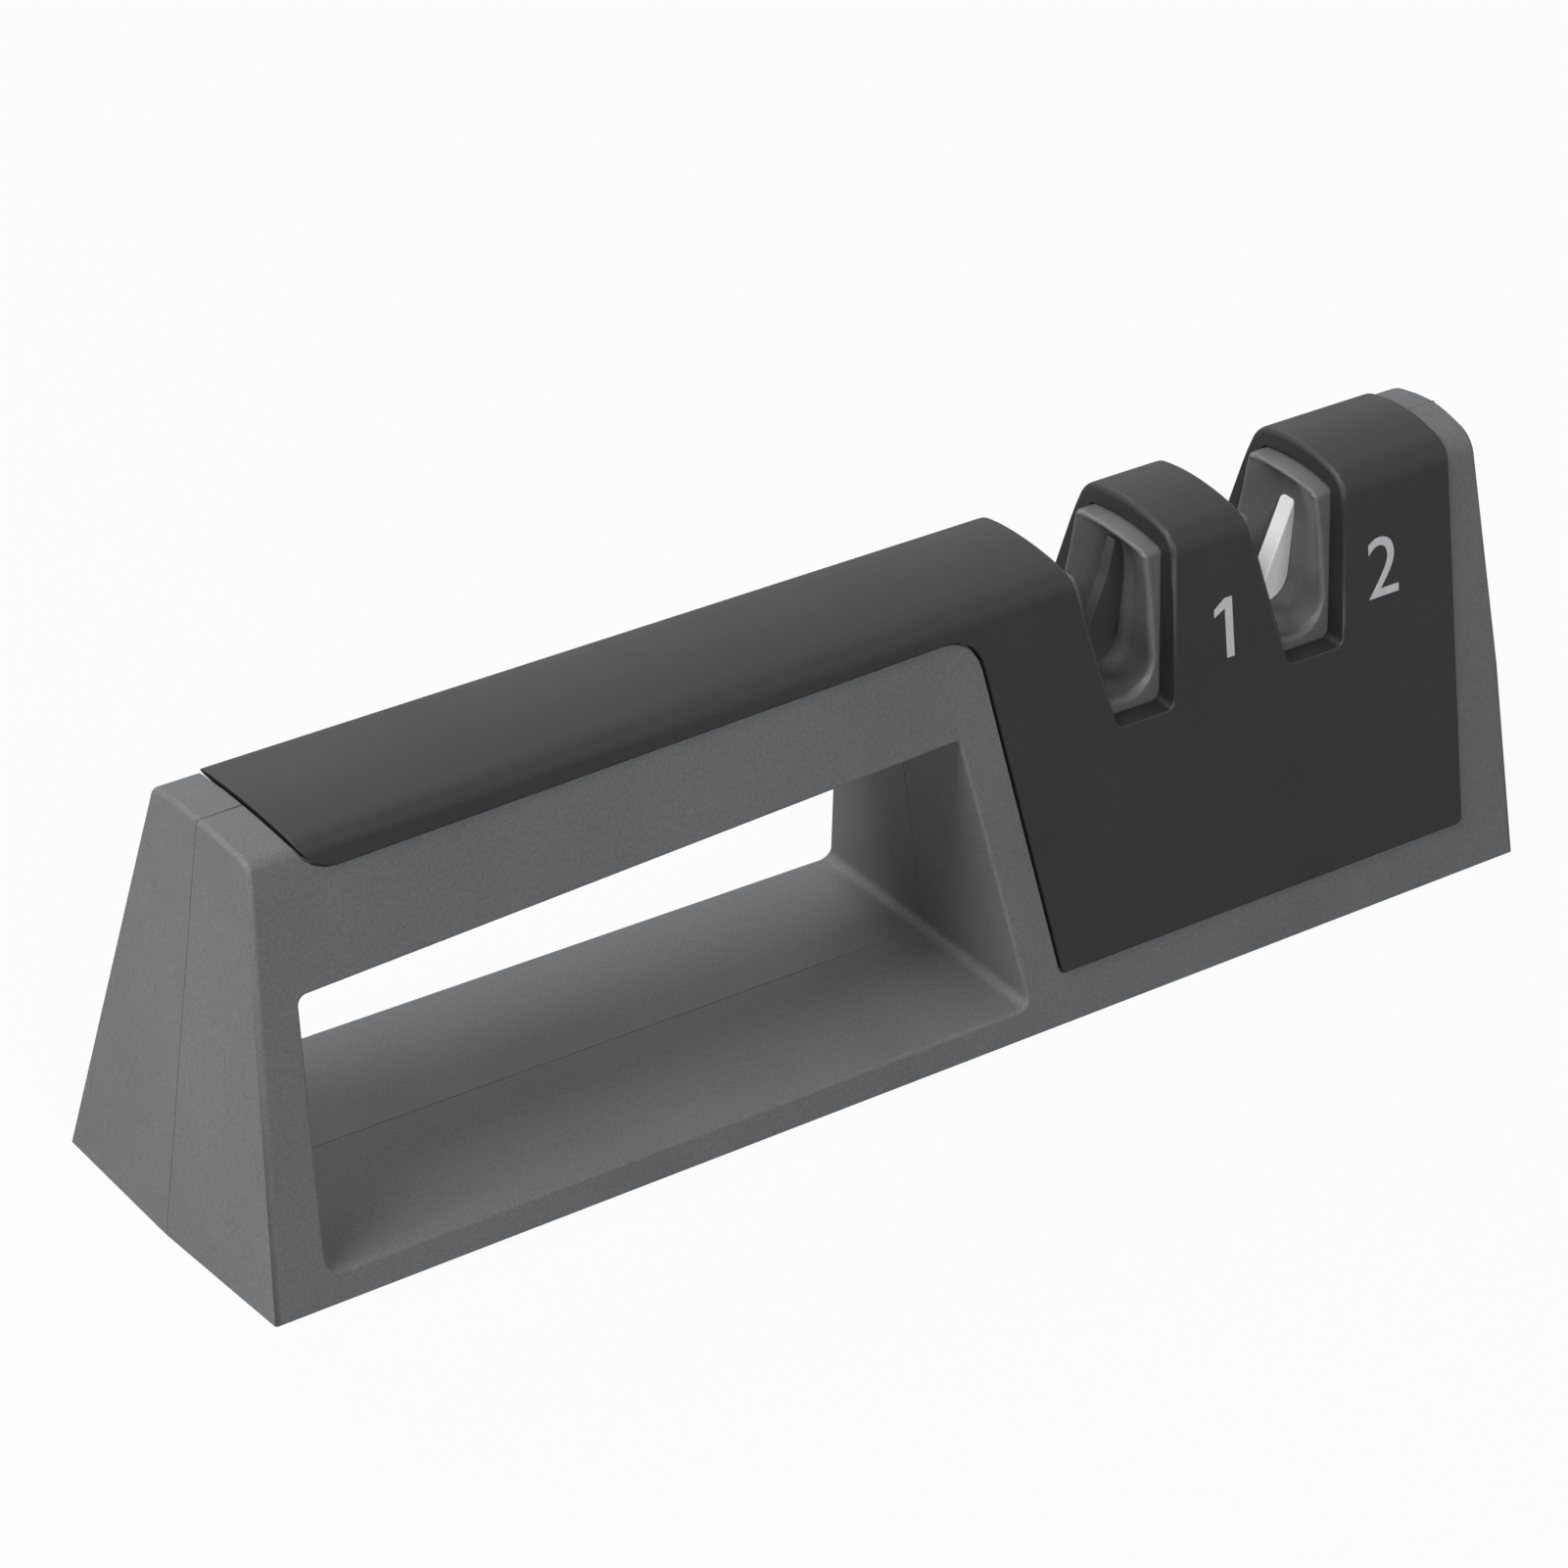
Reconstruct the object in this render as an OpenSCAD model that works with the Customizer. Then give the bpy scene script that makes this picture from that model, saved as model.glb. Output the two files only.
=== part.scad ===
// Pull through knife sharpener with a long handle and two sharpening slots.
// Millimetres. X runs along the handle, Y across it, Z up from the table.
// The outline is laid out from the left bottom corner and shifted so X is zero at mid length.

/* [Body] */
// Length at the bottom, corner to corner
body_length = 205; // [190:1:220]
// Width at the bottom of the handle end
base_width_left = 47.8; // [44:0.2:52]
// Width at the bottom of the sharpening end
base_width_right = 44; // [41:0.2:47]
// Height of the handle end at its shoulders
height_left = 59.3; // [58:0.1:60]
// Height of the sharpening end at its shoulders
height_right = 61.7; // [61:0.1:63]
// How much narrower each side gets per millimetre of height
side_slope = 0.2236; // [0.215:0.001:0.23]
// Height of the gentle arch over the top
top_crown = 0.7; // [0.3:0.1:1.2]
// Shoulder radius at the handle end
shoulder_r_left = 1.6; // [1:0.1:3]
// Shoulder radius at the sharpening end
shoulder_r_right = 4.2; // [3:0.1:5]
// How far each end bows out at the seam
end_bow = 0.85; // [0.4:0.05:1.2]
// How far the handle end leans in at the top
lean_left = 2.7; // [1:0.1:4]
// How far the sharpening end leans in at the top
lean_right = 4.6; // [3.8:0.1:6]
// Slope of the lower part of the sharpening end
lean_right_low = 0.06; // [0.04:0.005:0.07]

/* [Finger opening] */
// Left side of the opening
open_left = 7.8; // [7.2:0.1:9]
// Right side of the opening at its floor
open_right_low = 119.1; // [112:0.1:120]
// Right side of the opening under its ceiling
open_right_high = 110.7; // [104:0.1:112]
// Floor height at the outer face
open_floor = 4.6; // [4.2:0.1:6]
// Ceiling height at the left
open_top_left = 41; // [38:0.1:41.4]
// Ceiling height at the right
open_top_right = 43.9; // [41:0.1:44]
// How much the opening closes in at the seam
open_draft = 1; // [0.4:0.1:1.4]

/* [Cover] */
// How far the cover stands proud of the grey body
cover_proud = 0.45; // [0.3:0.05:0.6]
// Cover side wall at table level, it thins upwards
cover_wall_low = 4.3; // [4.1:0.1:4.6]
// Slope of the inner faces of the cover
cover_inner_slope = 0.194; // [0.19:0.001:0.2]
// Cover thickness over the top
cover_top = 2.75; // [2.5:0.05:3]
// Left end of the cover on the handle
cover_left = 8.8; // [8:0.1:10]
// Right end of the cover
cover_right = 195.4; // [194.6:0.1:196.2]
// Lower edge of the cover legs
cover_low = 7.9; // [7:0.1:9]
// Groove left between cover and body
cover_gap = 0.3; // [0.2:0.05:0.6]

/* [Slots] */
// Right wall of the coarse slot at its floor
slot_wall_x = 145.75; // [145.3:0.05:146.2]
// Distance between the two slots
slot_pitch = 29.6; // [29.2:0.1:30]
// Slot width at its floor
slot_floor_width = 9.55; // [9.2:0.05:9.9]
// Floor height of the coarse slot
slot_floor_z = 38.25; // [37.8:0.05:38.8]
// Slope of the left slot side
slot_lean = 0.27; // [0.25:0.01:0.29]
// Slope of the right slot wall
slot_wall_lean = 0.06; // [0.03:0.01:0.08]

/* [Sharpening edges] */
// Lean of every blade and bar from upright
edge_angle = 18.5; // [17:0.5:19.5]
// Carbide blade thickness
carbide_thick = 1.65; // [1.4:0.05:2]
// Carbide blade width
carbide_width = 5; // [4.4:0.1:5.4]
// Ceramic bar thickness
ceramic_thick = 2.6; // [2.2:0.1:2.8]
// Ceramic bar width
ceramic_width = 5.4; // [5:0.1:5.8]
// Slip fit round blades and bars on each side
edge_fit = 0.05; // [0.03:0.01:0.1]

/* [Fixings] */
// Shell screw shank diameter
shell_screw_d = 2.4; // [2:0.1:2.8]
// Keeper screw shank diameter
keeper_screw_d = 2.2; // [1.8:0.1:2.4]
// Locating peg diameter under the cover
peg_d = 4; // [3.4:0.1:4.4]
// Rubber base sheet thickness
pad_thick = 1.6; // [1.3:0.1:1.8]

/* [Hidden] */
seam_gap = 0.03;
seat_gap = 0.05;
core_fit = 0.1;
groove_deep = 0.8;
groove_fit = 0.12;
body_floor = 0.4;
screw_fit = 0.04;
clearance_hole = 2.8;
boss_d = 7;
shell_head_d = 4.4;
shell_head_h = 1.6;
shell_seat_y = 8;
shell_shank = 15;
shell_bore_d = 4.8;
keeper_head_d = 4.2;
keeper_head_h = 1.6;
keeper_shank = 8.5;
keeper_room = 5;
keeper_thick = 2.5;
keeper_reach = 8.5;
keeper_half = 10.5;
keeper_width = 15;
insert_half = 13;
insert_back = 5;
insert_floor_z = 31.5;
right_break_z = 28;
insert_proud = 0.95;
insert_lean = 0.035;
insert_left_proud = 2.3;
insert_crown = 0.65;
channel_floor_up = 1.9;
dish_lip = 0.9;
dish_right = 1.8;
dish_left = 1.3;
dish_floor = 1.7;
dish_top = 4.5;
coarse_notch = [5.49, 38.5];
fine_notch = [3.55, 38.5];
edge_gap = 0.05;
edge_low_z = 31.7;
coarse_bend_down = 9.5;
coarse_bend = 0.155;
coarse_top_down = 4.3;
fine_top_down = 7.0;
front_lower = 2.4;
ledge = 1.8;
wall = 2;
pad_inset = 8;
pad_half = 17.5;
pad_corner_r = 5;
hook_half = 4;
hook_z = 10;
hook_high = 3.5;
hook_deep = 1.3;
hook_fit = 0.3;
thin = 0.01;
above = 90;
far = 60;
slant = sqrt(1 + side_slope * side_slope);
slot_rise = (height_right - height_left) * slot_pitch / body_length;
lean = tan(edge_angle);
peg_xs = [30, 95];
hook_xs = [138, 176];
shell_screw_at = [[3.9, 16], [18, 48.6], [76, 49.9], [128, 16], [155.8, 20], [191, 16], [191, 44]];
cross_long = 2.5;
cross_wide = 0.6;
cross_deep = 0.6;
open_half = 24.5;
open_radii = [2.5, 1.4, 0.8, 1.2];
open_draft_shares = [[0.3, 1], [-0.8, 1], [-0.8, -0.5], [0.3, -0.5]];
strip_left_z = 55.8;
leg_top = [114, 57.2];
leg_slope = 0.2152;
cover_radii = [0.5, 6.7, 6, 1, 0.8, 0.5];
slot_radii = [0.5, 1.2, 1.5, 0.5];
channel_radii = [0.5, 3.9, 2.4, 0.5];
dish_radii = [0.3, 0.5, 3.6, 2.4, 0.5, 0.3];
core_r = 1.2;
groove_low_z = 22;
head_room = [[122.8, 3.4], [202, 3.4], [199.8, 28.5], [117.6, 28.5]];
leg_room = [[117.8, 28.4], [126, 28.4], [126, 44.2], [114.6, 44.2]];
end_room = [[186, 28.4], [199.8, 28.4], [197.6, 53.5], [186, 53.5]];
handle_room = [[11.5, 43.6], [112, 46.4], [125.8, 46.4], [125.8, 54], [11.5, 52.8]];
rib_half = 2.1;
rib_low = 25.5;
pad_fit = 0.15;
peg_low = 47.5;

$fn = 48;

// Body measures along the length
function along(a, b, x) = a + (b - a) * x / body_length;
function base_half(x) = along(base_width_left, base_width_right, x) / 2;
function body_height(x) = along(height_left, height_right, x);
function shoulder_r(x) = along(shoulder_r_left, shoulder_r_right, x);
function core_half(x) = base_half(x) - cover_wall_low + cover_proud * slant;

// Arc of points round one corner of an outline
function unit(v) = v / norm(v);
function turn(a, b) = (b - a + 540) % 360 - 180;
function corner(p, a, b, r) =
  let (u = unit(a - p), v = unit(b - p), h = acos(u * v) / 2, c = p + unit(u + v) * r / sin(h))
  let (s = p + u * r / tan(h) - c, e = p + v * r / tan(h) - c)
  let (a0 = atan2(s[1], s[0]), d = turn(a0, atan2(e[1], e[0])))
  [for (i = [0:6]) c + r * [cos(a0 + d * i / 6), sin(a0 + d * i / 6)]];

// Outline with each corner rounded by its own radius
function rounded(pts, rs) =
  let (n = len(pts))
  [for (i = [0:n - 1]) each corner(pts[i], pts[(i + n - 1) % n], pts[(i + 1) % n], rs[i])];

// Cross section of the body: leaning sides, round shoulders, gently arched top
function section(half, slope, height, r, crown, low) =
  let (s = sqrt(1 + slope * slope), cy = half - slope * (height - r) - r * s, a = atan(slope))
  let (turns = [for (i = [0:8]) a + (90 - a) * i / 8])
  let (arc = [for (t = turns) [cy + r * cos(t), height - r + r * sin(t)]])
  let (top = [for (i = [5:-1:-5]) [cy * i / 6, height + crown * (1 - i * i / 36)]])
  let (back = [for (i = [8:-1:0]) [-arc[i][0], arc[i][1]]])
  concat([[half - slope * low, low]], arc, top, back, [[slope * low - half, low]]);

// Shift from the bottom corner layout to the middle of the length
module placed() {
  translate([-body_length / 2, 0, 0]) children();
}

// Outline in X and Z pushed through across the width
module across(pts, y0 = -far, y1 = far) {
  translate([0, y1, 0]) rotate([90, 0, 0]) linear_extrude(y1 - y0) polygon(pts);
}

// Outline in Y and Z pushed along the length
module lengthwise(pts, x0, x1) {
  translate([x0, 0, 0]) rotate([90, 0, 90]) linear_extrude(x1 - x0) polygon(pts);
}

// Thin slice of the section standing at x
module slice(x, pts) {
  lengthwise(pts, x, x + thin);
}

// Body or cover outside, grown by a margin
module body_blank(grow) {
  hull() {
    for (x = [-far / 2, body_length + far / 2]) {
      slice(x, section(base_half(x) + grow * slant, side_slope, body_height(x) + grow,
        shoulder_r(x) + grow, top_crown, -2));
    }
  }
}

// Inside of the cover, also the core of the shells below it
module core(shrink) {
  hull() {
    for (x = [-far / 2, body_length + far / 2]) {
      slice(x, section(core_half(x) - shrink, cover_inner_slope,
        body_height(x) + cover_proud - cover_top - shrink, core_r, insert_crown, -2));
    }
  }
}

// Everything beyond the leaning, bowed ends on one side of the seam
module beyond_ends(side) {
  taper = end_bow * side_slope * height_left / base_half(0);
  end_x = body_length + end_bow;
  upper = (lean_right + taper - right_break_z * lean_right_low) / (height_right - right_break_z);
  bow_left = atan(end_bow / base_half(0));
  bow_right = atan(end_bow / base_half(body_length));
  translate([-end_bow, 0, 0]) rotate([0, atan((lean_left + taper) / height_left), -side * bow_left])
    translate([-far, -far, -far]) cube([far, 2 * far, 3 * far]);
  for (cut = [[end_x, lean_right_low], [end_x + right_break_z * (upper - lean_right_low), upper]]) {
    translate([cut[0], 0, 0]) rotate([0, -atan(cut[1]), side * bow_right])
      translate([0, -far, -far]) cube([far, 2 * far, 3 * far]);
  }
}

// Finger opening, closing in a little from the face to the seam
module finger_opening(grow) {
  outer = [[open_left - grow, open_floor - grow], [open_right_low + grow, open_floor - grow],
    [open_right_high + grow, open_top_right + grow], [open_left - grow, open_top_left + grow]];
  inner = outer + open_draft * open_draft_shares;
  for (side = [-1, 1]) {
    hull() {
      across(rounded(outer, open_radii), side * open_half - thin, side * open_half);
      across(rounded(inner, open_radii), -thin, thin);
    }
  }
}

// Side outline of the cover: handle strip, leg and sharpening end
module cover_outline(grow) {
  leg_x = leg_top[0] + leg_slope * (leg_top[1] - cover_low);
  pts = [[cover_left - grow, above], [cover_left - grow, strip_left_z - grow],
    [leg_top[0] - grow, leg_top[1] - grow], [leg_x - grow, cover_low - grow],
    [cover_right + grow, cover_low - grow], [cover_right + grow, above]];
  across(rounded(pts, cover_radii));
}

// Side outline of one slot
module slot_outline(n) {
  x = slot_wall_x + n * slot_pitch;
  z = slot_floor_z + n * slot_rise;
  pts = [[x + slot_wall_lean * (above - z), above], [x, z], [x - slot_floor_width, z],
    [x - slot_floor_width - slot_lean * (above - z), above]];
  across(rounded(pts, slot_radii));
}

// Middle of an insert, and the notch formed by its crossing edges
function insert_x(n) = slot_wall_x + n * slot_pitch - insert_back;
function notch_at(n) = n == 0 ? coarse_notch : fine_notch;
function notch_x(n) = slot_wall_x + n * slot_pitch - notch_at(n)[0];

// Room cut out of the shells for an insert and its keeper
module insert_room(n) {
  z = insert_floor_z + n * slot_rise;
  translate([insert_x(n) - insert_half - seat_gap, -far, z])
    cube([2 * (insert_half + seat_gap), 2 * far, far]);
  translate([insert_x(n) - insert_half + ledge, -keeper_width / 2 - wall, z - keeper_room])
    cube([2 * (insert_half - ledge), keeper_width + 2 * wall, keeper_room + 1]);
}

// Cross section with straight sides that lean in by the slope
function prism(half, slope) =
  [[half, 0], [half - far * slope, far], [far * slope - half, far], [-half, 0]];

// Hollow spaces inside the shells
module hollows() {
  side = base_half(body_length) - cover_wall_low - wall;
  handle = base_half(125) - 1.2 * wall;
  intersection() {
    union() {
      for (room = [head_room, leg_room, end_room]) {
        across(room);
      }
    }
    lengthwise(prism(side, cover_inner_slope), head_room[3][0] - far, body_length);
  }
  intersection() {
    across(handle_room);
    lengthwise(prism(handle, side_slope), 0, head_room[0][0] + far / 10);
  }
}

// Posts that carry the screws and pegs across the hollows
module supports() {
  for (p = shell_screw_at) {
    translate([p[0], far / 2, p[1]]) rotate([90, 0, 0]) cylinder(d = boss_d, h = far);
  }
  for (x = peg_xs) {
    translate([x - peg_d, -far / 2, open_top_left]) cube([2 * peg_d, far, far]);
  }
  for (n = [0, 1]) {
    for (side = [-1, 1]) {
      x = insert_x(n) + side * (insert_half - ledge + rib_half);
      translate([x - rib_half, -far / 2, rib_low]) cube([2 * rib_half, far, far / 2]);
    }
  }
}

// Slots in the shell sides where the cover hooks snap in
module hook_windows() {
  for (x = hook_xs) {
    translate([x - hook_half - hook_fit, -far / 2, hook_z - hook_fit])
      cube([2 * (hook_half + hook_fit), far, hook_high + 2 * hook_fit]);
  }
}

// Rubber sheet outline, grown for its recess
module pad_shape(grow, high) {
  half = pad_half + grow;
  x0 = pad_inset - grow;
  long = body_length - 2 * x0;
  r = pad_corner_r + grow;
  linear_extrude(high) union() {
    translate([x0 + r, -half]) square([long - 2 * r, 2 * half]);
    translate([x0, r - half]) square([long, 2 * (half - r)]);
    for (x = [x0 + r, x0 + long - r]) {
      for (y = [r - half, half - r]) {
        translate([x, y]) circle(r);
      }
    }
  }
}

// One half of the grey body on its side of the seam
module shell(side) {
  difference() {
    body_blank(0);
    translate([-far, -far, -far]) cube([6 * far, 2 * far, far + body_floor]);
    translate([-far, side < 0 ? -seam_gap : -far, -far]) cube([6 * far, far + seam_gap, 3 * far]);
    beyond_ends(side);
    difference() {
      cover_outline(cover_gap);
      body_blank(-groove_deep);
    }
    difference() {
      cover_outline(groove_fit);
      core(core_fit);
    }
    difference() {
      hollows();
      supports();
    }
    finger_opening(0);
    for (n = [0, 1]) {
      insert_room(n);
    }
    hook_windows();
    translate([0, 0, -1]) pad_shape(pad_fit, pad_thick + seat_gap + 1);
    for (x = peg_xs) {
      translate([x, 0, peg_low - 2]) cylinder(d = peg_d + 2 * screw_fit, h = far);
    }
    children();
  }
}

module front_shell() {
  color([0.36, 0.37, 0.38]) placed() shell(-1) {
    for (p = shell_screw_at) {
      translate([p[0], 1, p[1]]) rotate([90, 0, 0])
        cylinder(d = shell_screw_d + 2 * screw_fit, h = shell_shank - shell_seat_y + 1.5);
    }
  }
}

module rear_shell() {
  color([0.36, 0.37, 0.38]) placed() shell(1) {
    for (p = shell_screw_at) {
      translate([p[0], far / 2, p[1]]) rotate([90, 0, 0]) cylinder(d = clearance_hole, h = far);
      translate([p[0], far / 2, p[1]]) rotate([90, 0, 0])
        cylinder(d = shell_bore_d, h = far / 2 - shell_seat_y);
    }
  }
}

// Pegs and hooks on the inside of the cover
module cover_fixings() {
  for (x = peg_xs) {
    translate([x, 0, peg_low]) cylinder(d = peg_d, h = body_height(x) - peg_low - cover_proud);
  }
  for (x = hook_xs) {
    for (side = [-1, 1]) {
      y = core_half(x) - cover_inner_slope * hook_z - hook_deep;
      translate([x - hook_half, side > 0 ? y : -y - hook_deep - wall, hook_z])
        cube([2 * hook_half, hook_deep + wall, hook_high]);
    }
  }
}

module top_cover() {
  color([0.06, 0.06, 0.065]) placed() difference() {
    union() {
      difference() {
        intersection() {
          body_blank(cover_proud);
          cover_outline(0);
        }
        core(0);
      }
      cover_fixings();
    }
    for (n = [0, 1]) {
      slot_outline(n);
    }
  }
}

// Side outline of a strip whose leaning edge runs up through the notch, with an optional steeper tip
function strip_outline(n, wide, low_z, bend_z, bend, top_z) =
  let (x0 = notch_x(n), z0 = notch_at(n)[1])
  let (right = [wide * cos(edge_angle), -wide * sin(edge_angle)])
  let (low = [x0 + lean * (low_z - right[1] - z0), low_z - right[1]])
  let (mid = [x0 + lean * (bend_z - z0), bend_z])
  let (top = [mid[0] + bend * (top_z - bend_z), top_z])
  [low, mid, top, top + right, mid + right, low + right];

// The strip as a plate leaning one way or the other, on its own side of the middle
module edge_strip(n, dir, pts, y0, y1) {
  translate([notch_x(n), 0, 0]) mirror([dir > 0 ? 0 : 1, 0, 0]) translate([-notch_x(n), 0, 0])
    across(pts, dir > 0 ? y0 : -y1, dir > 0 ? y1 : -y0);
}

// Strip outline of each slot, from the chosen low height up to a chosen drop below its usual top
function edge_top(n, down) = body_height(slot_wall_x + n * slot_pitch) - down;
function coarse_strip(low_z, drop = 0) = strip_outline(0, carbide_width, low_z,
  edge_top(0, coarse_bend_down), coarse_bend, edge_top(0, coarse_top_down + drop));
function fine_strip(low_z, drop = 0) = strip_outline(1, ceramic_width, low_z,
  edge_top(1, fine_top_down + 3), lean, edge_top(1, fine_top_down + drop));

// Both grooves for the crossing strips of one insert, a little larger all round
module edge_grooves(n, pts, thick) {
  for (dir = [-1, 1]) {
    for (shift = [[-edge_fit, 0], [edge_fit, 0], [0, edge_fit]]) {
      translate([shift[0], 0, shift[1]]) edge_strip(n, dir, pts, -thin, edge_gap + thick + edge_fit);
    }
  }
}

// Guide channel outline from its floor up to a chosen height
function channel_outline(right, left, floor_z, top_z) =
  [[right - insert_lean * (top_z - floor_z), top_z], [right, floor_z], [left, floor_z],
    [left - slot_lean * (top_z - floor_z), top_z]];

// Dish in the guide channel: deepest at the middle, running out at both faces and under the lip
module dish(n, rim, half, floor_z, lip_z) {
  right = slot_wall_x + n * slot_pitch + dish_right;
  left = rim[2][0] - dish_left;
  deep = floor_z - dish_floor;
  low = dish_top + dish_lip;
  middle = [[rim[0][0], lip_z], [right, lip_z - low], [right, deep], [left, deep],
    [left - slot_lean * (lip_z - low - deep), lip_z - low], [rim[3][0], lip_z]];
  hull() {
    across(rounded(middle, dish_radii), -thin, thin);
    for (side = [-1, 1]) {
      multmatrix([[1, 0, 0, 0], [0, 1, -side * cover_inner_slope, side * half], [0, 0, 1, 0]])
        across(rounded(rim, channel_radii), -thin, thin);
    }
  }
}

// Grey insert: block with a guide channel, grooves and screw holes
module insert_block(n) {
  x = insert_x(n);
  rise = n * slot_rise;
  wall_x = slot_wall_x + n * slot_pitch;
  floor_z = slot_floor_z + rise + channel_floor_up;
  right = wall_x - insert_proud;
  left = wall_x - slot_floor_width + insert_left_proud - slot_lean * channel_floor_up;
  half = core_half(x + insert_half) - core_fit;
  top_z = body_height(x - insert_half) + cover_proud - cover_top - core_fit;
  difference() {
    lengthwise(section(half, cover_inner_slope, top_z, core_r + 0.2, insert_crown, insert_floor_z + rise),
      x - insert_half, x + insert_half);
    across(rounded(channel_outline(right, left, floor_z, above), channel_radii));
    dish(n, channel_outline(right, left, floor_z, top_z - dish_lip), half, floor_z, top_z - dish_lip);
    children();
    for (side = [-1, 1]) {
      translate([x + side * keeper_reach, 0, insert_floor_z + rise - 1])
        cylinder(d = keeper_screw_d + 2 * screw_fit, h = keeper_shank - keeper_thick + 2);
    }
  }
}

// Small plate that closes an insert from below
module keeper(n) {
  z = insert_floor_z + n * slot_rise - keeper_thick - seat_gap;
  difference() {
    translate([insert_x(n) - keeper_half, -keeper_width / 2, z])
      cube([2 * keeper_half, keeper_width, keeper_thick]);
    for (side = [-1, 1]) {
      translate([insert_x(n) + side * keeper_reach, 0, z - 1])
        cylinder(d = clearance_hole, h = keeper_thick + 2);
    }
  }
}

module coarse_insert() {
  color([0.33, 0.34, 0.35]) placed() insert_block(0)
    edge_grooves(0, coarse_strip(groove_low_z), carbide_thick);
}

module fine_insert() {
  color([0.33, 0.34, 0.35]) placed() insert_block(1)
    edge_grooves(1, fine_strip(groove_low_z), ceramic_thick);
}

module carbide_blade_front() {
  color([0.2, 0.2, 0.21]) placed()
    edge_strip(0, -1, coarse_strip(edge_low_z, front_lower), edge_gap, edge_gap + carbide_thick);
}

module carbide_blade_rear() {
  color([0.2, 0.2, 0.21]) placed()
    edge_strip(0, 1, coarse_strip(edge_low_z), edge_gap, edge_gap + carbide_thick);
}

module ceramic_bar_front() {
  color([0.8, 0.8, 0.79]) placed()
    edge_strip(1, -1, fine_strip(edge_low_z + slot_rise, front_lower), edge_gap, edge_gap + ceramic_thick);
}

module ceramic_bar_rear() {
  color([0.8, 0.8, 0.79]) placed()
    edge_strip(1, 1, fine_strip(edge_low_z + slot_rise), edge_gap, edge_gap + ceramic_thick);
}

module coarse_keeper() {
  color([0.33, 0.34, 0.35]) placed() keeper(0);
}

module fine_keeper() {
  color([0.33, 0.34, 0.35]) placed() keeper(1);
}

// Pan head screw pointing up, its head bearing at z zero
module screw(d, shank, head_d, head_h) {
  difference() {
    union() {
      cylinder(d = d, h = shank);
      translate([0, 0, -head_h]) cylinder(d = head_d, h = head_h);
    }
    for (turned = [0, 90]) {
      rotate(turned) translate([-cross_long / 2, -cross_wide / 2, -head_h - 1])
        cube([cross_long, cross_wide, 1 + cross_deep]);
    }
  }
}

module keeper_screws() {
  color([0.6, 0.6, 0.62]) placed() {
    for (n = [0, 1]) {
      for (side = [-1, 1]) {
        z = insert_floor_z + n * slot_rise - keeper_thick - 2 * seat_gap;
        translate([insert_x(n) + side * keeper_reach, 0, z])
          screw(keeper_screw_d, keeper_shank, keeper_head_d, keeper_head_h);
      }
    }
  }
}

module shell_screws() {
  color([0.6, 0.6, 0.62]) placed() {
    for (p = shell_screw_at) {
      translate([p[0], shell_seat_y + seat_gap, p[1]]) rotate([90, 0, 0])
        screw(shell_screw_d, shell_shank, shell_head_d, shell_head_h);
    }
  }
}

module base_pad() {
  color([0.05, 0.05, 0.05]) placed() pad_shape(0, pad_thick);
}

front_shell();
rear_shell();
top_cover();
coarse_insert();
carbide_blade_front();
carbide_blade_rear();
coarse_keeper();
fine_insert();
ceramic_bar_front();
ceramic_bar_rear();
fine_keeper();
keeper_screws();
shell_screws();
base_pad();
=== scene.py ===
import math

import bmesh
import bpy
import numpy as np
from mathutils import Matrix, Vector


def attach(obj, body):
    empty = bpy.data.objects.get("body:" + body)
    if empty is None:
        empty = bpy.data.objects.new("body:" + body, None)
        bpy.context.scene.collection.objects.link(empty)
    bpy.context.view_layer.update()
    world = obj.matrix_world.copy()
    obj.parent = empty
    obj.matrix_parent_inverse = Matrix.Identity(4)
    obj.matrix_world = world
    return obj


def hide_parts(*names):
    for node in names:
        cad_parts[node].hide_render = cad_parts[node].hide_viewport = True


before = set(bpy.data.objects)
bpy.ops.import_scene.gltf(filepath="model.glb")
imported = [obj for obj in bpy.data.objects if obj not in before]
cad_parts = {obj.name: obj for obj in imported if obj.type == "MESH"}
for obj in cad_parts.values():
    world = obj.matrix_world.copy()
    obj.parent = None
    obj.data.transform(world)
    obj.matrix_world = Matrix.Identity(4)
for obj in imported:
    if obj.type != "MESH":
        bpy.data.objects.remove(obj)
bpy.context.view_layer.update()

# Camera. It stands before the handle end, a little above, and looks down along the body with a long lens.
aim = np.array([-0.009959, 0.0, 0.036120])
stand_off = 0.889725
heading, pitch, roll = np.radians([39.1511, 31.5574, 4.1383])
forward = np.array([math.sin(heading) * math.cos(pitch), math.cos(heading) * math.cos(pitch), -math.sin(pitch)])
level = np.array([math.cos(heading), -math.sin(heading), 0.0])
upright = np.cross(level, forward)
across = math.cos(roll) * level + math.sin(roll) * upright
upward = -math.sin(roll) * level + math.cos(roll) * upright
place = Matrix.Identity(4)
for column, axis in enumerate((across, upward, -forward, aim - forward * stand_off)):
    for row in range(3):
        place[row][column] = axis[row]
lens = bpy.data.cameras.new("camera")
lens.sensor_width = 36
lens.lens = 158.82
lens.clip_start = 0.05
camera = bpy.data.objects.new("camera", lens)
camera.matrix_world = place
bpy.context.collection.objects.link(camera)
bpy.context.scene.camera = camera
bpy.context.scene.view_settings.view_transform = "Standard"


# Studio. The main soft box stands high beyond the handle end, and three weaker ones fill from the handle end,
# the front and the rear. The world is a dim grey for the object and plain white where it is seen.
def soft_box(name, position, size, power):
    """A square lamp at position, facing the middle of the object."""
    light = bpy.data.lights.new(name, "AREA")
    light.shape = "SQUARE"
    light.size = size
    light.energy = power
    lamp = bpy.data.objects.new(name, light)
    toward = Vector((0, 0, 0.03)) - Vector(position)
    lamp.rotation_euler = toward.to_track_quat("-Z", "Y").to_euler()
    lamp.location = position
    bpy.context.collection.objects.link(lamp)


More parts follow.
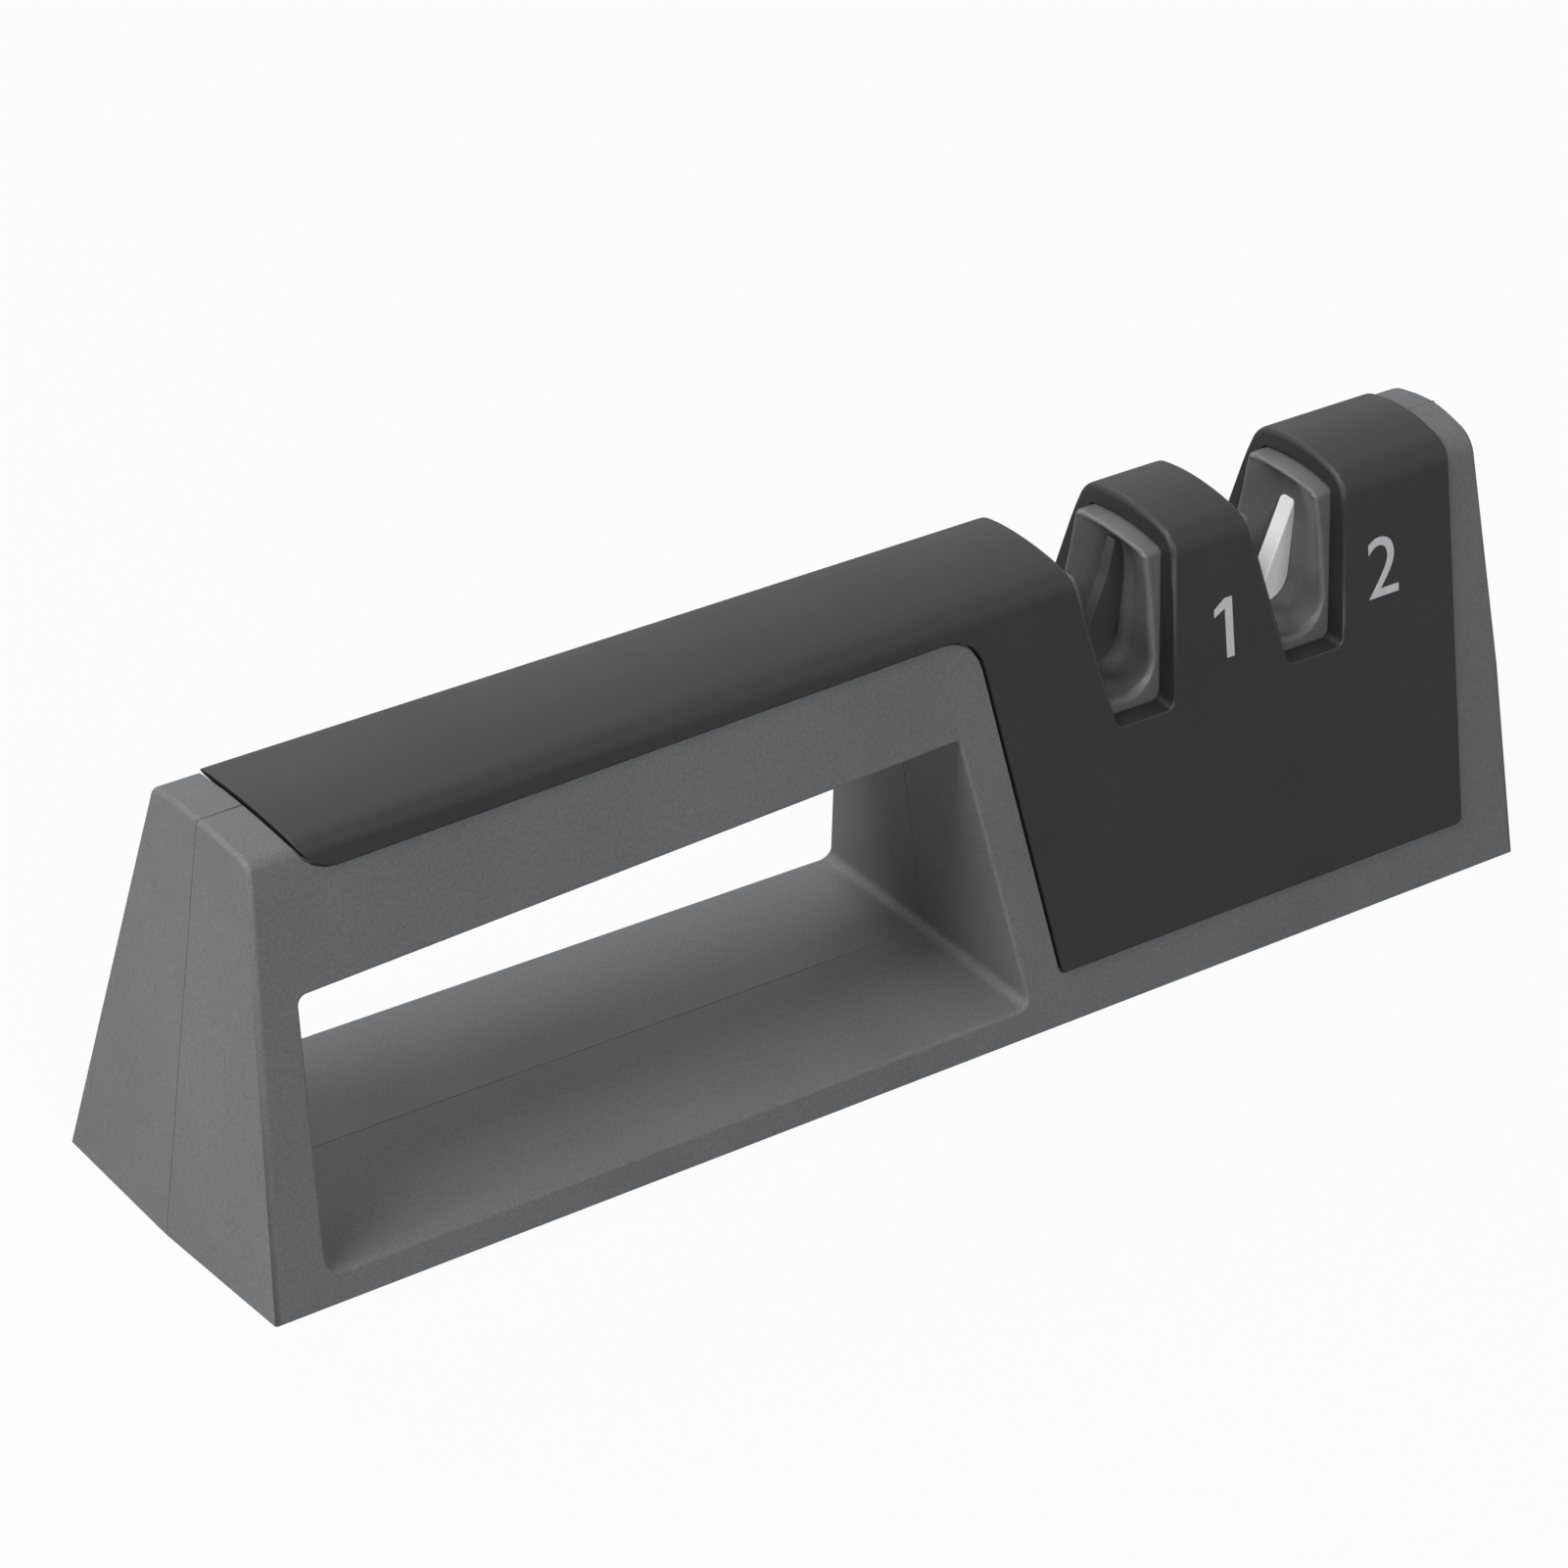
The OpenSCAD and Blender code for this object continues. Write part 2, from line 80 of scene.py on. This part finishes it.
def add_node(tree, kind, values=None, operation=None):
    """A node in a material's or the world's tree, with its operation and the plain values of its sockets."""
    node = tree.nodes.new(f"ShaderNode{kind}")
    if operation:
        node.operation = operation
    for socket, value in (values or {}).items():
        node.inputs[socket].default_value = value
    return node


def wire(tree, *pairs):
    """Joins each pair's output socket to its input socket."""
    for output, target in pairs:
        tree.links.new(output, target)


soft_box("lamp_main", (-0.9, 0.0, 1.2), 0.6, 15.3)
soft_box("lamp_handle_end", (-1.3, 0.0, 0.42), 0.45, 5.3)
soft_box("lamp_front", (-0.4, -1.4, 0.8), 0.8, 10.7)
soft_box("lamp_rear", (0.1, 1.2, 1.2), 0.6, 5.0)

world = bpy.data.worlds.new("studio")
bpy.context.scene.world = world
world.use_nodes = True
sky = world.node_tree
sky.nodes.clear()
seen = add_node(sky, "LightPath")
glossy_too = add_node(sky, "Math", operation="MAXIMUM")
through_too = add_node(sky, "Math", operation="MAXIMUM")
dim = add_node(sky, "Background", {"Color": (0.93, 0.96, 1, 1), "Strength": 0.07})
white = add_node(sky, "Background", {"Color": (1, 1, 1, 1), "Strength": 1})
choose = add_node(sky, "MixShader")
sky_out = add_node(sky, "OutputWorld")
wire(sky,
     (seen.outputs["Is Camera Ray"], glossy_too.inputs[0]),
     (seen.outputs["Is Glossy Ray"], glossy_too.inputs[1]),
     (glossy_too.outputs[0], through_too.inputs[0]),
     (seen.outputs["Is Transmission Ray"], through_too.inputs[1]),
     (through_too.outputs[0], choose.inputs["Fac"]),
     (dim.outputs[0], choose.inputs[1]),
     (white.outputs[0], choose.inputs[2]),
     (choose.outputs[0], sky_out.inputs["Surface"]))

# Floor. A wide pale board that carries a faint shadow of the object and is otherwise white in the camera.
far = 4.0
white_share = 0.96
floor_mesh = bpy.data.meshes.new("floor")
floor_mesh.from_pydata([(-far, -far, 0), (far, -far, 0), (far, far, 0), (-far, far, 0)], [], [(0, 1, 2, 3)])
floor = bpy.data.objects.new("floor", floor_mesh)
bpy.context.collection.objects.link(floor)
board = bpy.data.materials.new("floor_board")
board.use_nodes = True
board_tree = board.node_tree
board_tree.nodes.clear()
lit = add_node(board_tree, "BsdfDiffuse", {"Color": (0.5, 0.5, 0.5, 1)})
glow = add_node(board_tree, "Emission", {"Strength": 1})
rays = add_node(board_tree, "LightPath")
share_seen = add_node(board_tree, "Math", {1: white_share}, "MULTIPLY")
blend = add_node(board_tree, "MixShader")
board_out = add_node(board_tree, "OutputMaterial")
wire(board_tree,
     (rays.outputs["Is Camera Ray"], share_seen.inputs[0]),
     (share_seen.outputs[0], blend.inputs["Fac"]),
     (lit.outputs[0], blend.inputs[1]),
     (glow.outputs[0], blend.inputs[2]),
     (blend.outputs[0], board_out.inputs["Surface"]))
floor.data.materials.append(board)


# Grey shells. Two moulded halves of matte ABS meet on the middle plane and form the whole body.
# Seven screws from the rear clamp them. The outer edges are softly rounded, as a mould leaves them.
shell_grey = (0.129, 0.1345, 0.140)


def new_finish(name):
    """A node material with its tree, its shader, and the Object coordinates that its textures read."""
    material = bpy.data.materials.new(name)
    material.use_nodes = True
    tree = material.node_tree
    return material, tree, tree.nodes["Principled BSDF"], add_node(tree, "TexCoord").outputs["Object"]


def carried(tree, factor, low, high, darkest=0.0, lightest=1.0):
    """The factor carried over in a straight line, so that darkest becomes low and lightest becomes high."""
    reach = {"From Min": darkest, "From Max": lightest, "To Min": low, "To Max": high}
    carry = add_node(tree, "MapRange", reach)
    wire(tree, (factor, carry.inputs["Value"]))
    return carry.outputs["Result"]


def dress(tree, shader, colour, factor, sheen, height, strength, depth):
    """Gives the shader its colour times a factor, its roughness, and a bump of the height, depth metres deep."""
    tint = add_node(tree, "VectorMath", {0: colour}, "SCALE")
    bump = add_node(tree, "Bump", {"Strength": strength, "Distance": depth})
    wire(tree,
         (factor, tint.inputs["Scale"]),
         (tint.outputs["Vector"], shader.inputs["Base Color"]),
         (sheen, shader.inputs["Roughness"]),
         (height, bump.inputs["Height"]),
         (bump.outputs["Normal"], shader.inputs["Normal"]))


def moulded(name, colour, roughness, grain, gloss=0.4, cloud=0.05):
    """Matte moulded plastic: a spark-eroded grain of two fine noises in the bump, and cloudy colour and sheen."""
    material, tree, shader, where = new_finish(name)
    shader.inputs["Specular IOR Level"].default_value = gloss
    fine = add_node(tree, "TexNoise", {"Scale": 2700, "Detail": 2})
    pits = add_node(tree, "TexVoronoi", {"Scale": 1700})
    patches = add_node(tree, "TexNoise", {"Scale": 55, "Detail": 4})
    both = add_node(tree, "Math", operation="MULTIPLY")
    height = add_node(tree, "Math", operation="ADD")
    speckle = 2.4 * cloud
    fine_share = carried(tree, fine.outputs["Fac"], 1 - speckle, 1 + speckle, 0.3, 0.7)
    patch_share = carried(tree, patches.outputs["Fac"], 1 - cloud, 1 + cloud, 0.3, 0.7)
    sheen = carried(tree, patches.outputs["Fac"], roughness - 0.06, roughness + 0.06, 0.3, 0.7)
    wire(tree,
         (where, fine.inputs["Vector"]),
         (where, pits.inputs["Vector"]),
         (where, patches.inputs["Vector"]),
         (fine_share, both.inputs[0]),
         (patch_share, both.inputs[1]),
         (fine.outputs["Fac"], height.inputs[0]),
         (pits.outputs["Distance"], height.inputs[1]))
    dress(tree, shader, colour, both.outputs[0], sheen, height.outputs[0], grain, 0.00003)
    return material


def spots_of(mesh):
    """The mesh's points as an array with one row of X, Y and Z each, in metres."""
    spots = np.empty(3 * len(mesh.vertices), np.float32)
    mesh.vertices.foreach_get("co", spots)
    return spots.reshape(-1, 3)


def welded(node, name):
    """Copy of a CAD solid as one mesh: corners within two microns join, and level neighbours become one face."""
    near, level_angle = 2e-6, math.radians(0.5)
    solid = bmesh.new()
    solid.from_mesh(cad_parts[node].data)
    bmesh.ops.remove_doubles(solid, verts=solid.verts, dist=near)
    bmesh.ops.dissolve_degenerate(solid, edges=solid.edges, dist=near)
    bmesh.ops.dissolve_limit(solid, angle_limit=level_angle, verts=solid.verts, edges=solid.edges)
    mesh = bpy.data.meshes.new(name)
    solid.to_mesh(mesh)
    solid.free()
    if "custom_normal" in mesh.attributes:
        mesh.attributes.remove(mesh.attributes["custom_normal"])
    return mesh


def edge_facts(mesh):
    """Middle of every edge in millimetres, the angle between its two faces from their normals, and its ends."""
    ends = np.empty(2 * len(mesh.edges), np.int32)
    mesh.edges.foreach_get("vertices", ends)
    ends = ends.reshape(-1, 2)
    loop_edge = np.empty(len(mesh.loops), np.int32)
    mesh.loops.foreach_get("edge_index", loop_edge)
    corners = np.empty(len(mesh.polygons), np.int32)
    mesh.polygons.foreach_get("loop_total", corners)
    normals = np.empty(3 * len(mesh.polygons), np.float32)
    mesh.polygons.foreach_get("normal", normals)
    normals = normals.reshape(-1, 3)
    face = np.repeat(np.arange(len(corners)), corners)
    order = np.argsort(loop_edge, kind="stable")
    first = np.searchsorted(loop_edge[order], np.arange(len(mesh.edges)))
    second = np.minimum(first + 1, len(order) - 1)
    cosine = np.sum(normals[face[order[first]]] * normals[face[order[second]]], axis=1)
    shared = np.bincount(loop_edge, minlength=len(mesh.edges)) == 2
    angle = np.where(shared, np.degrees(np.arccos(np.clip(cosine, -1, 1))), 0)
    return 1000 * spots_of(mesh)[ends].mean(axis=1), angle, ends


def set_radii(mesh, radii, angle):
    """Stores each edge's rounding as a share of the largest, and keeps the other creases over 30 degrees sharp.
    Gives the largest rounding in metres."""
    largest = float(radii.max())
    weight = mesh.attributes.new("bevel_weight_edge", "FLOAT", "EDGE")
    weight.data.foreach_set("value", (radii / largest).astype(np.float32))
    sharp = mesh.attributes.get("sharp_edge") or mesh.attributes.new("sharp_edge", "BOOLEAN", "EDGE")
    sharp.data.foreach_set("value", (angle > 30) & (radii == 0))
    mesh.polygons.foreach_set("use_smooth", np.ones(len(mesh.polygons), bool))
    mesh.update()
    return largest / 1000


def add_piece(mesh, material, nodes, radius=0.0):
    """Links the mesh as a piece of the root body that stands for CAD nodes, with its edges rounded."""
    mesh.materials.clear()
    mesh.materials.append(material)
    piece = bpy.data.objects.new(mesh.name, mesh)
    bpy.context.collection.objects.link(piece)
    if radius:
        rounding = piece.modifiers.new("edge_rounding", "BEVEL")
        rounding.limit_method = "WEIGHT"
        rounding.width = radius
        rounding.segments = 4
        rounding.use_clamp_overlap = False
        rounding.harden_normals = True
    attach(piece, "root")
    if nodes:
        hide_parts(*nodes)
    return piece


# Body sizes in millimetres, at the handle end and the sharpening end. The sides lean in by side_slope for each
# millimetre of height, which makes them slant times as long as they are high.
body_length = 205.0
body_wide = (47.8, 44.0)
body_high = (59.3, 61.7)
side_slope = 0.2236
slant = 1.0247
crease_angle = 25


def body_side(x):
    """Half width of the body at table level: a straight run from the handle end to the sharpening end."""
    return (body_wide[0] + (body_wide[1] - body_wide[0]) * x / body_length) / 2


def body_top(x):
    """Height of the body's shoulders: a straight run from the handle end to the sharpening end."""
    return body_high[0] + (body_high[1] - body_high[0]) * x / body_length


def in_layout(middle):
    """Edge middles as distance from the handle end, distance from the middle plane, and height, in millimetres."""
    return middle[:, 0] + body_length / 2, np.abs(middle[:, 1]), middle[:, 2]


def shell_radii(middle, angle):
    """Rounding by place: 0.75 mm on the edges of both leaning ends, 0.5 mm round the opening, small at the base
    and the seam. An edge belongs to an end when it lies within 0.4 mm of that end's plane. Each end comes to a
    low ridge at the middle plane, and the sharpening end leans more above its bend."""
    end_round, opening_round, base_round, seam_round = 0.75, 0.5, 0.35, 0.1
    near_end, ridge = 0.4, 0.85
    x, y, z = in_layout(middle)
    inset = body_side(x) - side_slope * z - y
    below_top = body_top(x) - z
    left_end = -ridge + ridge * y / 23.9 + 0.0535 * z
    right_end = body_length + ridge - ridge * y / 22 - np.maximum(0.06 * z, 0.1006 * z - 1.14)
    at_end = (x < left_end + near_end) | (x > right_end - near_end)
    opening = (x > 7) & (x < 121 - 0.2137 * z) & (z > 3.9) & (z < 44.3)
    radii = np.where((inset < 0.15) & opening, opening_round, 0.0)
    radii = np.where((z < 0.5) & (inset < 0.3), base_round, radii)
    radii = np.where(at_end & ((inset < 1.3) | (below_top < 1.4)), end_round, radii)
    seam = (y < 0.06) & (at_end | opening | (below_top < 0.5))
    radii = np.where(seam, seam_round, radii)
    return np.where(angle > crease_angle, radii, 0.0)


shell_plastic = moulded("shell_plastic", shell_grey, 0.55, 0.5, cloud=0.06)
for side in ("front", "rear"):
    mesh = welded(f"{side}_shell", f"{side}_shell_moulding")
    middle, angle, _ = edge_facts(mesh)
    radius = set_radii(mesh, shell_radii(middle, angle), angle)
    half_shell = add_piece(mesh, shell_plastic, [f"{side}_shell"], radius)
    half_shell.modifiers["edge_rounding"].loop_slide = False


# Black cover. One matte moulding sits like a saddle over the handle and the head and is snapped on.
# The knife slots are cut through it, with soft mouths so that a blade finds its way in.
cover_black = (0.0135, 0.0135, 0.0148)
cover_proud = 0.45
slot_wall = 145.75
slot_pitch = 29.6
slot_width = 9.55
slot_bottom = 38.25
slot_slope = 0.27


def cover_radii(middle, angle):
    """Rounding by place: 0.25 mm on the rim, 0.22 mm on the slot mouths' sides, growing to 0.9 mm over the top,
    and 0.12 mm on the mouths' inner edges. A mouth is found within 0.3 mm of the slot's walls and bottom."""
    rim_round, mouth_round, mouth_gain, inner_round = 0.25, 0.22, 0.68, 0.12
    skin, near, gain_from, gain_over = 1.35, 0.3, 54, 6
    x, y, z = in_layout(middle)
    inset = body_side(x) + cover_proud * slant - side_slope * z - y
    outside = (inset < skin) | (z > body_top(x) + cover_proud - skin)
    mouth = np.zeros(len(x), bool)
    for wall in (slot_wall, slot_wall + slot_pitch):
        above = z - slot_bottom
        left, right = wall - slot_width - slot_slope * above, wall + 0.06 * above
        mouth |= (x > left - near) & (x < right + near) & (above > -near)
    rise = np.clip((z - gain_from) / gain_over, 0, 1)
    radii = np.where(outside, rim_round, 0.0)
    radii = np.where(outside & mouth, mouth_round + mouth_gain * rise, radii)
    radii = np.where(~outside & mouth, inner_round, radii)
    return np.where(angle > crease_angle, radii, 0.0)


cover_plastic = moulded("cover_plastic", cover_black, 0.5, 0.5, gloss=0.45, cloud=0.07)
mesh = welded("top_cover", "cover_moulding")
middle, angle, _ = edge_facts(mesh)
radius = set_radii(mesh, cover_radii(middle, angle), angle)
add_piece(mesh, cover_plastic, ["top_cover"], radius)


# Slot inserts. Each is one grey moulding whose channel guides the blade, hollowed on both sides.
# It carries the crossed sharpening pieces and is held from below by a small keeper plate.
insert_grey = (0.118, 0.121, 0.125)
insert_half = 13
insert_base = 31.5
insert_play = 0.1
face_inset = 4.3
face_lean = 0.194
cover_roof = 2.75
floor_lift = 1.9
rings = 43
wall_levels = 31


def channel_profile(wall, floor, top, step):
    """X and Z of every ring's channel, from the right rim down, over the floor and up to the left rim. The rim's
    channel grows by a share that runs straight from none at the faces to all at a quarter of the half length
    from the middle, with a softened bend there. Under the top the growth dies away along a quarter ellipse.
    Quarter circles join the walls to the floor."""
    level_share, bend_share = 0.26, 0.02
    right_growth, left_growth, floor_growth, growth_fade = 1.8, 1.3, 1.7, 8.4
    right_inset, right_lean, left_inset = 0.95, 0.035, 2.3
    beyond = np.abs(step) - level_share
    share = 1 - (np.sqrt(beyond ** 2 + bend_share ** 2) + beyond) / (2 - 2 * level_share)
    share = np.where(np.abs(step) == 1, 0, np.clip(share, 0, 1))
    bed = floor - floor_growth * share
    bend_right, bend_left, left_squeeze = 4.1 - 0.5 * share, np.full_like(share, 2.4), 0.9
    up = np.concatenate([[1], np.linspace(0.935, 0.0, wall_levels - 1)])[None, :]
    turn = np.radians(np.linspace(0, 90, 13))[None, 1:-1]
    turn_back = turn[:, ::-1]

    z_right = bed + bend_right + (top - bed - bend_right) * up
    z_left = (bed + bend_left + (top - bed - bend_left) * up)[:, ::-1]
    fade_right, fade_left = (np.sqrt(1 - np.clip((z - (top - growth_fade)) / growth_fade, 0, 1) ** 2)
                             for z in (z_right, z_left))
    rim_right = wall - right_inset - right_lean * (z_right - floor)
    x_right = rim_right + share * fade_right * (wall + right_growth - rim_right)
    rim_left = wall - slot_width + left_inset - slot_slope * floor_lift - slot_slope * (z_left - floor)
    x_left = rim_left - left_growth * share * fade_left

    foot_right, foot_left = x_right[:, -1:], x_left[:, :1]
    slide = slot_slope * bend_left * (1 - np.sin(turn_back))
    x_turn_right = foot_right - bend_right * (1 - np.cos(turn))
    z_turn_right = bed + bend_right * (1 - np.sin(turn))
    x_turn_left = foot_left + slide + bend_left * (1 - np.cos(turn_back)) * left_squeeze
    z_turn_left = bed + bend_left * (1 - np.sin(turn_back))
    run = np.linspace(0, 1, 6)[None, :]
    start, stop = foot_right - bend_right, foot_left + bend_left * (left_squeeze + slot_slope)
    return (np.hstack([x_right, x_turn_right, start + (stop - start) * run, x_turn_left, x_left]),
            np.hstack([z_right, z_turn_right, bed + 0 * run, z_turn_left, z_left]))


def guide_insert(name, wall, rise):
    """Rings of one profile in X and Z, a block with the channel cut into its arched top, are carried across the
    slot in Y, where both faces lean. The rims, the lid's edges and the faces' channel edges are rounded."""
    wall_to_mid, wall_to_lid_left, wall_to_lid_right, arch_rise = 5, 15.5, 1.3, 0.65
    mid = wall - wall_to_mid
    left, right = mid - insert_half, mid + insert_half
    lid_left, lid_right = wall - wall_to_lid_left, wall + wall_to_lid_right
    base = insert_base + rise
    half = body_side(right) - face_inset + cover_proud * slant - insert_play
    top = body_top(left) + cover_proud - cover_roof - insert_play
    step = np.concatenate([[-1], np.linspace(-0.86, 0.86, rings - 2), [1]])[:, None]
    x_channel, z_channel = channel_profile(wall, slot_bottom + floor_lift + rise, top, step)
    one = np.ones_like(step)
    arch = top + arch_rise * (1 - step ** 2)
    x = np.hstack([one * right, one * right, one * lid_right, x_channel, one * lid_left, one * left, one * left])
    z = np.hstack([one * base, arch, arch, z_channel, arch, arch, one * base])
    y = step * (half - face_lean * z)
    count = x.shape[1]
    points = np.stack([x - body_length / 2, y, z], 2).reshape(-1, 3) / 1000
    ring, along = np.meshgrid(np.arange(rings - 1), np.arange(count), indexing="ij")
    here, onward = ring * count + along, ring * count + (along + 1) % count
    quads = np.stack([here, onward, onward + count, here + count], 2).reshape(-1, 4)
    front, back = list(range(count)), list(range(count * rings - 1, count * (rings - 1) - 1, -1))
    mesh = bpy.data.meshes.new(name)
    mesh.from_pydata(points.tolist(), [], quads.tolist() + [front, back])
    solid = bmesh.new()
    solid.from_mesh(mesh)
    bmesh.ops.recalc_face_normals(solid, faces=solid.faces)
    solid.to_mesh(mesh)
    solid.free()

    middle, angle, ends = edge_facts(mesh)
    ring_of, spot = ends // count, ends % count
    in_ring = ring_of[:, 0] == ring_of[:, 1]
    at_face = in_ring & ((ring_of[:, 0] == 0) | (ring_of[:, 0] == rings - 1))
    low, high = spot.min(axis=1), spot.max(axis=1)
    rim_right, rim_left = 3, count - 4
    channel = (low >= rim_right) & (high <= rim_left)
    lid = ((low == rim_right - 1) & (high == rim_right)) | ((low == rim_left) & (high == rim_left + 1))
    rim = ~in_ring & (low == high) & ((low == rim_right) | (low == rim_left))
    lid_round, channel_gain = 0.75, 0.45
    wide = lid_round + channel_gain * np.clip((top - 2.5 - middle[:, 2]) / 4, 0, 1)
    radii = np.where(at_face & channel, wide, np.where((at_face & lid) | rim, lid_round, 0.0))
    return mesh, set_radii(mesh, radii, angle)


insert_plastic = moulded("insert_plastic", insert_grey, 0.42, 0.25, gloss=0.5, cloud=0.05)
slot_rise = (body_high[1] - body_high[0]) * slot_pitch / body_length
for order, stage_name in enumerate(("coarse", "fine")):
    mesh, radius = guide_insert(f"{stage_name}_guide", slot_wall + order * slot_pitch, order * slot_rise)
    add_piece(mesh, insert_plastic, [f"{stage_name}_insert"], radius)


# Carbide blades. Two dark ground strips cross in the coarse slot, glued in their grooves.
# The long edges carry a fine ground facet that catches the light.
def ground(name, colour, metallic, roughness, lines, depth):
    """Ground hard material: noise stretched along the grinding direction in colour, roughness and bump."""
    material, tree, shader, where = new_finish(name)
    shader.inputs["Metallic"].default_value = metallic
    stretch = add_node(tree, "Mapping", {"Scale": (lines, lines, lines / 12)})
    streaks = add_node(tree, "TexNoise", {"Scale": 1, "Detail": 3})
    wire(tree, (where, stretch.inputs["Vector"]), (stretch.outputs["Vector"], streaks.inputs["Vector"]))
    streak = streaks.outputs["Fac"]
    tone = carried(tree, streak, 0.88, 1.12)
    sheen = carried(tree, streak, roughness - 0.08, roughness + 0.08)
    dress(tree, shader, colour, tone, sheen, streak, depth, 0.00001)
    return material


def ground_piece(node, name, material, edge, ridge):
    """The CAD strip with every crease over 8 degrees rounded by edge, or by ridge along the side next to its
    partner, which is the side within 0.5 mm of the middle plane."""
    mesh = welded(node, name)
    middle, angle, ends = edge_facts(mesh)
    run = np.diff(spots_of(mesh)[ends], axis=1)[:, 0]
    upward_edge = np.abs(run[:, 2]) > 0.8 * np.linalg.norm(run, axis=1)
    by_partner = upward_edge & (np.abs(middle[:, 1]) < 0.5)
    radii = np.where(angle > 8, np.where(by_partner, ridge, edge), 0.0)
    add_piece(mesh, material, [node], set_radii(mesh, radii, angle))


carbide = ground("carbide", (0.08, 0.08, 0.084), 0.35, 0.5, 2600, 0.3)
for side in ("front", "rear"):
    ground_piece(f"carbide_blade_{side}", f"carbide_strip_{side}", carbide, 0.12, 0.12)


# Ceramic bars. Two white fired bars cross in the fine slot, glued in their grooves.
# Firing leaves them matte and very even, with the long side next to the partner a little rounder.
ceramic = moulded("ceramic", (0.94, 0.94, 0.93), 0.35, 0.12, gloss=0.5, cloud=0.015)
for side in ("front", "rear"):
    ground_piece(f"ceramic_bar_{side}", f"ceramic_rod_{side}", ceramic, 0.15, 0.3)


# Stage numbers. Plain figures are printed in light grey paint on the cover beside each slot.
# Each is a flat outline, 8.4 mm high, laid on the leaning face of the cover as a thin closed film.
paint = moulded("label_paint", (0.56, 0.56, 0.58), 0.6, 0.3, gloss=0.3, cloud=0.03)
figure_high = 8.4
film_half = 0.012
film_lean = 0.218
one_outline = [(0.0, 6.1), (0.0, 7.2), (1.9, 8.4), (3.15, 8.4), (3.15, 0.0), (1.85, 0.0), (1.85, 6.95)]


def figure_one():
    """The numeral one: its outline at two depths, joined by walls and closed by two lids."""
    sides = len(one_outline)
    corners = [(x, z, depth) for depth in (-0.5, 0.5) for x, z in one_outline]
    walls = [(n, sides + n, sides + (n + 1) % sides, (n + 1) % sides) for n in range(sides)]
    lids = [tuple(range(sides)), tuple(range(2 * sides - 1, sides - 1, -1))]
    mesh = bpy.data.meshes.new("figure_1")
    mesh.from_pydata(corners, [], walls + lids)
    return mesh


def figure_two():
    """The numeral two in Blender's own plain letters, made a mesh."""
    letter = bpy.data.curves.new("figure_2_outline", "FONT")
    letter.body = "2"
    letter.resolution_u = 8
    letter.extrude = 0.5
    stencil = bpy.data.objects.new("stencil", letter)
    bpy.context.collection.objects.link(stencil)
    bpy.context.view_layer.update()
    mesh = bpy.data.meshes.new_from_object(stencil)
    bpy.data.objects.remove(stencil)
    mesh.name = "figure_2"
    return mesh


for mesh, x_mid, z_mid in ((figure_one(), 154.9, 46.7), (figure_two(), 183.0, 47.7)):
    flat = spots_of(mesh).astype(float)
    low, high = flat.min(axis=0), flat.max(axis=0)
    flat[:, :2] = (flat[:, :2] - (low + high)[:2] / 2) * figure_high / (high[1] - low[1])
    proud = film_half + film_half * np.sign(flat[:, 2])
    x, z = x_mid + flat[:, 0], z_mid + flat[:, 1] / slant
    y = -(body_side(x) + cover_proud * slant - side_slope * z) - proud / slant
    points = np.stack([x - body_length / 2, y, z + film_lean * proud], 1) / 1000
    mesh.vertices.foreach_set("co", points.astype(np.float32).ravel())
    mesh.update()
    add_piece(mesh, paint, [])


# Fixings and base. Zinc-plated steel screws, two moulded keeper plates inside, and the rubber sheet that is
# glued under the body. Their CAD solids stay as they are and get their finishes.
def refinish(nodes, material):
    """Gives CAD nodes this material in place of their plain one."""
    for node in nodes:
        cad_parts[node].data.materials.clear()
        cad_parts[node].data.materials.append(material)


refinish(("shell_screws", "keeper_screws"), ground("zinc_plate", (0.62, 0.62, 0.64), 1.0, 0.32, 900, 0.3))
refinish(("coarse_keeper", "fine_keeper"), moulded("keeper_plastic", insert_grey, 0.5, 0.25))
refinish(("base_pad",), moulded("base_rubber", (0.02, 0.02, 0.021), 0.8, 0.8, gloss=0.25, cloud=0.1))
